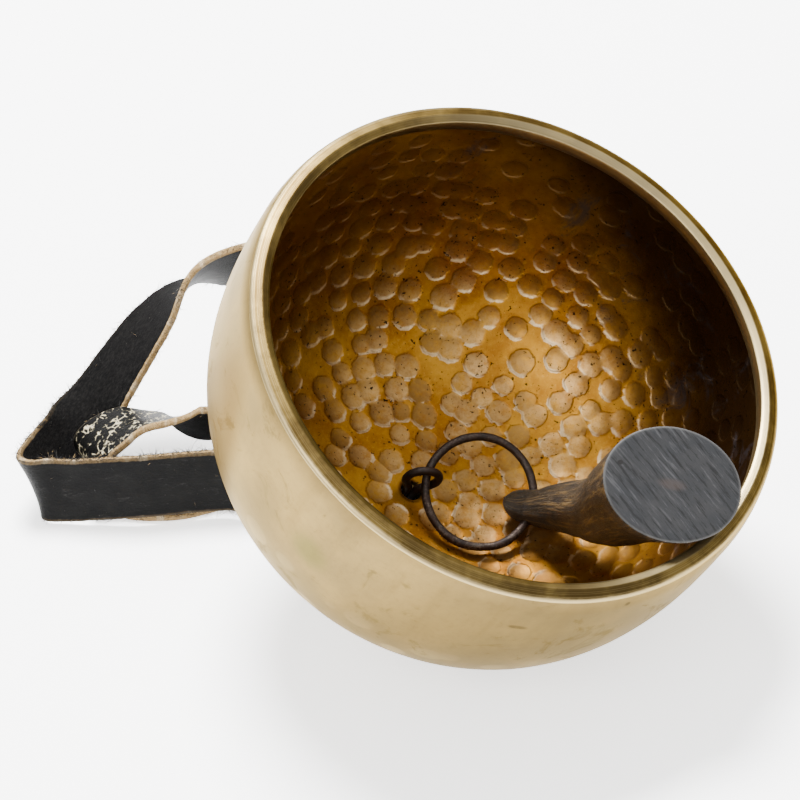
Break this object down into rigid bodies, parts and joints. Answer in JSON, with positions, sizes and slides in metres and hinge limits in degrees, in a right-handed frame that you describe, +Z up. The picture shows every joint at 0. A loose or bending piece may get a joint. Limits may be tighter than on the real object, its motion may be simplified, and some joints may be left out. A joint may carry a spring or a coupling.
{
  "type": "singing bowl",
  "caption": "Bell-type metal singing bowl lying tilted on its leather hanging strap, with a horn clapper on an iron ring inside.",
  "frame": {"origin": "middle of the footprint, on the floor the bowl and its strap lie on", "axes": "+Z up, +X from the strap's fold towards the bowl's open side, -Y towards the side the mouth is seen from"},
  "size_m": [0.1852, 0.1528, 0.1129],
  "materials": {
    "bowl_metal": "hand-hammered bronze, dull outside, amber patina inside",
    "eye_iron": "brown rusted wire",
    "ring_iron": "brown rusted wire with worn grey patches",
    "horn": "scraped brown horn with a grey sawn end",
    "outer_leather": "black leather, fuzzy flesh side and tan cut edges",
    "inner_leather": "black leather with a cracked pale bloom on the bend"
  },
  "bodies": {
    "bowl": {"bowl": "bowl_metal"},
    "suspension": {"wire_eye": "eye_iron", "strap_outer": "outer_leather", "strap_inner": "inner_leather"},
    "ring": {"clapper_ring": "ring_iron"},
    "clapper": {"horn_clapper": "horn"}
  },
  "joints": [
    {"name": "suspension_turn", "type": "hinge", "parent": "bowl", "child": "suspension", "pos_m": [0.0049, 0.01274, 0.01534], "axis": [0.3496, -0.3802, 0.8563], "continuous": true},
    {"name": "ring_swing", "type": "hinge", "parent": "suspension", "child": "ring", "pos_m": [0.00973, 0.00913, 0.02358], "axis": [-0.0917, 0.8957, 0.4351], "range_deg": [-33, 0]},
    {"name": "clapper_swing", "type": "hinge", "parent": "ring", "child": "clapper", "pos_m": [0.03556, 0.0083, 0.01509], "axis": [0.247, 0.7179, 0.6509], "range_deg": [-40, 0]}
  ]
}
